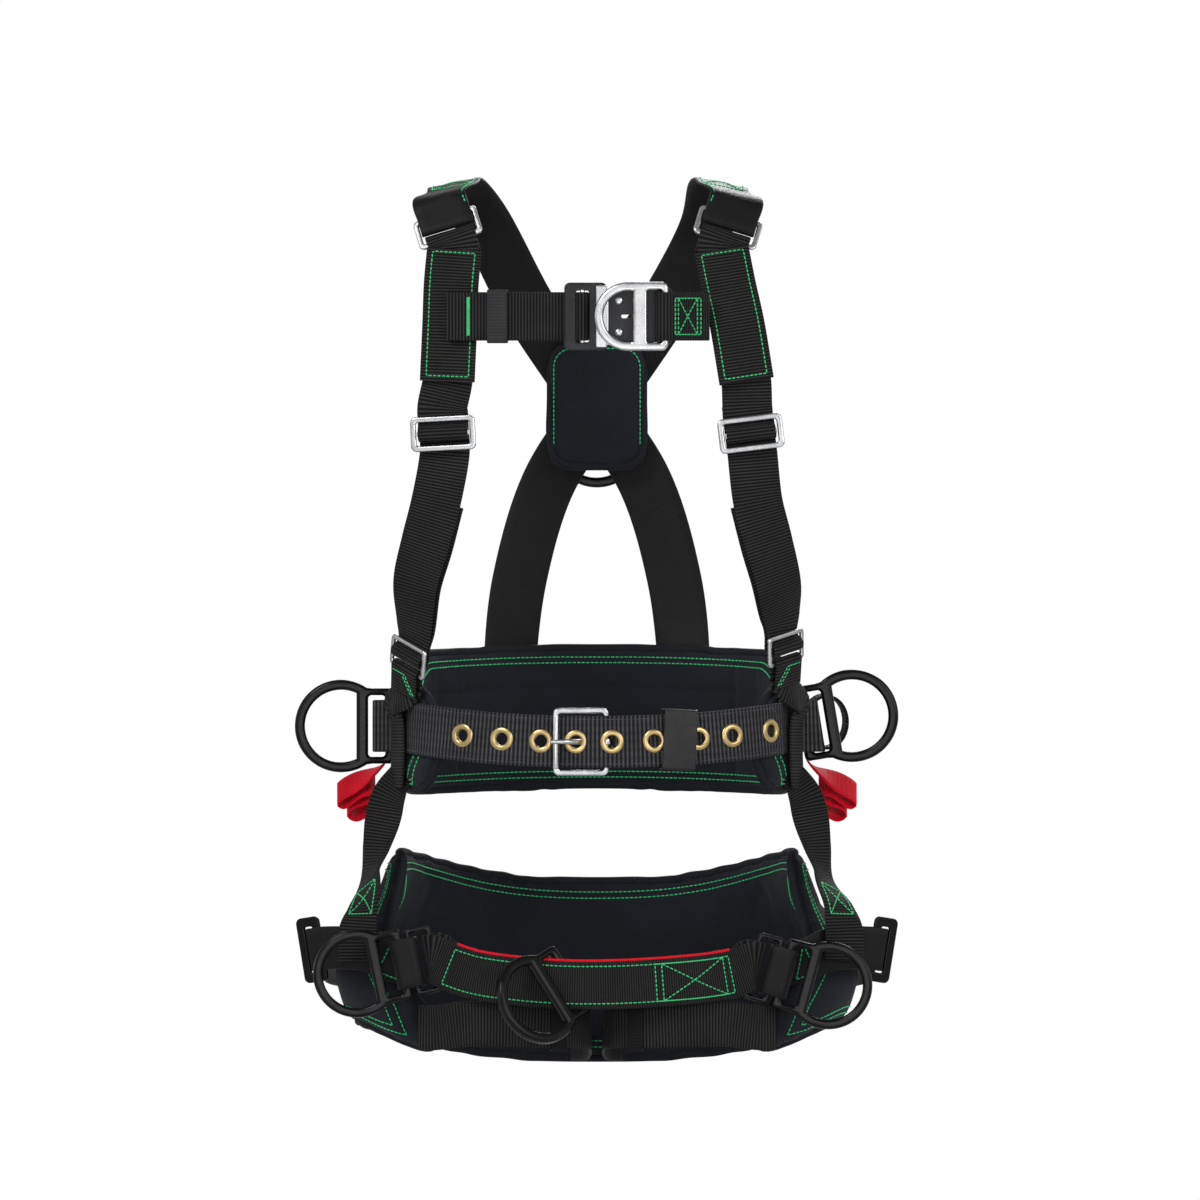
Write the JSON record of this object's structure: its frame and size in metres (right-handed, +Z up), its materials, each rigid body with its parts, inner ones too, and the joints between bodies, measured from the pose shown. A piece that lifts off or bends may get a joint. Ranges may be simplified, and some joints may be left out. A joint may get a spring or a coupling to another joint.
{
  "type": "tree climbing saddle",
  "caption": "Full-body webbing climbing harness with padded waist belt, seat pad, shoulder, chest and leg straps, bridge strap and D-rings, as worn.",
  "frame": {"origin": "middle of the waist opening, at the middle of the belt height", "axes": "+Z up the wearer, -Y the way the wearer faces, +X to the wearer's left; millimetres in the source, metres here"},
  "size_m": [0.5342, 0.3315, 0.782],
  "materials": {
    "webbing": "black ribbed polyester webbing",
    "belt": "charcoal coarse-ribbed webbing",
    "pad": "foam pad in dark blue-grey cloth with piping and green stitching",
    "elastic": "dark ribbed elastic",
    "red": "red webbing",
    "steel": "bright plated steel, lightly worn",
    "gunmetal": "dark grey coated steel",
    "alloy": "black forged alloy, satin",
    "leather": "black leather",
    "plastic": "black moulded plastic"
  },
  "bodies": {
    "harness": {"rear_shoulder_strap_right": "webbing", "front_shoulder_strap_right": "webbing", "chest_patch_right": "webbing", "torso_strap_right": "webbing", "belt_riser_right": "webbing", "gear_loop_right": "red", "hip_loop_right": "webbing", "hip_riser_right": "webbing", "hip_band_right": "webbing", "leg_strap_right": "webbing", "rear_shoulder_strap_left": "webbing", "front_shoulder_strap_left": "webbing", "chest_patch_left": "webbing", "torso_strap_left": "webbing", "belt_riser_left": "webbing", "gear_loop_left": "red", "hip_loop_left": "webbing", "hip_riser_left": "webbing", "hip_band_left": "webbing", "leg_strap_left": "webbing", "chest_strap_right": "webbing", "chest_buckle_frame": "gunmetal", "chest_buckle_tongue": "gunmetal", "chest_strap_left": "webbing", "dorsal_pad": "pad", "dorsal_plate": "plastic", "dorsal_loop": "webbing", "waist_pad": "pad", "belt_base_strap": "belt", "belt_tongue_strap": "belt", "accessory_loop_left": "webbing", "seat_pad": "pad", "bridge_strap": "webbing"},
    "side_ring_right": {"side_d_ring_right": "alloy"},
    "hip_ring_right": {"hip_d_ring_right": "alloy"},
    "bridge_link_right": {"bridge_link_right": "alloy"},
    "shoulder_link_right": {"shoulder_link_right": "steel"},
    "adjuster_right": {"strap_adjuster_right": "steel", "adjuster_bar_right": "steel"},
    "lower_link_right": {"lower_link_right": "steel"},
    "hip_buckle_right": {"hip_buckle_right": "alloy"},
    "leg_keeper_right": {"leg_keeper_right": "elastic"},
    "side_ring_left": {"side_d_ring_left": "alloy"},
    "hip_ring_left": {"hip_d_ring_left": "alloy"},
    "bridge_link_left": {"bridge_link_left": "alloy"},
    "shoulder_link_left": {"shoulder_link_left": "steel"},
    "adjuster_left": {"strap_adjuster_left": "steel", "adjuster_bar_left": "steel"},
    "lower_link_left": {"lower_link_left": "steel"},
    "hip_buckle_left": {"hip_buckle_left": "alloy"},
    "leg_keeper_left": {"leg_keeper_left": "elastic"},
    "chest_ring": {"chest_d_ring": "steel"},
    "chest_roller": {"chest_buckle_roller": "steel"},
    "chest_latch": {"chest_latch_plate": "steel"},
    "chest_keeper": {"chest_keeper": "elastic"},
    "dorsal_ring": {"dorsal_d_ring": "alloy"},
    "bridge_ring": {"bridge_d_ring": "alloy"},
    "belt_buckle": {"belt_buckle_frame": "steel"},
    "belt_prong": {"belt_buckle_prong": "steel"},
    "belt_keeper": {"belt_keeper": "leather"}
  },
  "joints": [
    {"name": "side_ring_swing_right", "type": "hinge", "parent": "harness", "child": "side_ring_right", "pos_m": [-0.1834, 0.015, 0.008], "axis": [0, 0, 1], "range_deg": [-58, 76]},
    {"name": "hip_ring_swing_right", "type": "hinge", "parent": "harness", "child": "hip_ring_right", "pos_m": [-0.1724, -0.09, -0.203], "axis": [-0.1994, 0, 0.9799], "range_deg": [-18, 78]},
    {"name": "bridge_link_swing_right", "type": "hinge", "parent": "harness", "child": "bridge_link_right", "pos_m": [-0.14496, -0.09, -0.19742], "axis": [-0.1994, 0, 0.9799], "range_deg": [-9, 9]},
    {"name": "shoulder_link_rock_right", "type": "hinge", "parent": "harness", "child": "shoulder_link_right", "pos_m": [-0.132, -0.068, 0.449], "axis": [-0.9569, 0, -0.2906], "range_deg": [-1, 1]},
    {"name": "adjuster_tilt_right", "type": "hinge", "parent": "harness", "child": "adjuster_right", "pos_m": [-0.1363, -0.1055, 0.267], "axis": [-0.9932, 0.1044, -0.0519], "range_deg": [-14, 2]},
    {"name": "lower_link_rock_right", "type": "hinge", "parent": "harness", "child": "lower_link_right", "pos_m": [-0.167, -0.062, 0.069], "axis": [-0.5447, 0.7779, 0.3134], "range_deg": [-1.5, 1.5]},
    {"name": "hip_buckle_tilt_right", "type": "hinge", "parent": "harness", "child": "hip_buckle_right", "pos_m": [-0.2443, -0.04386, -0.18877], "axis": [-0.158, 0, 0.9874], "range_deg": [-7, 3]},
    {"name": "leg_keeper_slide_right", "type": "slide", "parent": "harness", "child": "leg_keeper_right", "axis": [-0.9678, -0.2516, 0], "range_m": [-0.0045, 0.0105]},
    {"name": "side_ring_swing_left", "type": "hinge", "parent": "harness", "child": "side_ring_left", "pos_m": [0.1834, 0.015, 0.01], "axis": [-0.165, 0, 0.9863], "range_deg": [-62, 56]},
    {"name": "hip_ring_swing_left", "type": "hinge", "parent": "harness", "child": "hip_ring_left", "pos_m": [0.1654, -0.09, -0.211], "axis": [0.2588, 0, 0.9659], "range_deg": [-78, 13]},
    {"name": "bridge_link_swing_left", "type": "hinge", "parent": "harness", "child": "bridge_link_left", "pos_m": [0.13835, -0.09, -0.20375], "axis": [0.2588, 0, 0.9659], "range_deg": [-9, 9]},
    {"name": "shoulder_link_rock_left", "type": "hinge", "parent": "harness", "child": "shoulder_link_left", "pos_m": [0.116, -0.068, 0.449], "axis": [0.9569, 0, -0.2906], "range_deg": [-1, 1]},
    {"name": "adjuster_tilt_left", "type": "hinge", "parent": "harness", "child": "adjuster_left", "pos_m": [0.1363, -0.1055, 0.267], "axis": [0.9872, 0.1038, 0.1211], "range_deg": [-2, 14]},
    {"name": "lower_link_rock_left", "type": "hinge", "parent": "harness", "child": "lower_link_left", "pos_m": [0.167, -0.062, 0.077], "axis": [0.5635, 0.8048, 0.1867], "range_deg": [-1.5, 1.5]},
    {"name": "hip_buckle_tilt_left", "type": "hinge", "parent": "harness", "child": "hip_buckle_left", "pos_m": [0.2443, -0.04386, -0.18877], "axis": [0.158, 0, 0.9874], "range_deg": [-9, 11]},
    {"name": "leg_keeper_slide_left", "type": "slide", "parent": "harness", "child": "leg_keeper_left", "axis": [0.9678, -0.2516, 0], "range_m": [-0.0045, 0.0105]},
    {"name": "chest_ring_swing", "type": "hinge", "parent": "harness", "child": "chest_ring", "pos_m": [0.0603, -0.1432, 0.3705], "axis": [0, 0, 1], "range_deg": [0, 85]},
    {"name": "chest_roller_spin", "type": "hinge", "parent": "harness", "child": "chest_roller", "pos_m": [-0.013, -0.1316, 0.3705], "axis": [0, 0, 1], "continuous": true},
    {"name": "chest_latch_slide", "type": "slide", "parent": "harness", "child": "chest_latch", "axis": [1, 0, 0], "range_m": [-0.007, 0.0005], "stiffness_N_per_m": 300},
    {"name": "chest_keeper_slide", "type": "slide", "parent": "harness", "child": "chest_keeper", "axis": [0.9806, -0.1961, 0], "range_m": [-0.006, 0.028]},
    {"name": "dorsal_ring_swing", "type": "hinge", "parent": "harness", "child": "dorsal_ring", "pos_m": [0, 0.1534, 0.303], "axis": [1, 0, 0], "range_deg": [0, 175]},
    {"name": "bridge_ring_slide", "type": "slide", "parent": "harness", "child": "bridge_ring", "axis": [1, 0, 0], "range_m": [-0.014, 0.013]},
    {"name": "belt_buckle_tilt", "type": "hinge", "parent": "harness", "child": "belt_buckle", "pos_m": [0.008, -0.11826, -0.00599], "axis": [0, 0, 1], "range_deg": [-2, 0.4]},
    {"name": "belt_prong_tilt", "type": "hinge", "parent": "harness", "child": "belt_prong", "pos_m": [0.008, -0.11826, -0.00599], "axis": [0, 0, 1], "range_deg": [-0.3, 1]},
    {"name": "belt_keeper_slide", "type": "slide", "parent": "harness", "child": "belt_keeper", "axis": [0.9713, 0.2311, 0.0563], "range_m": [-0.017, 0.002]}
  ]
}
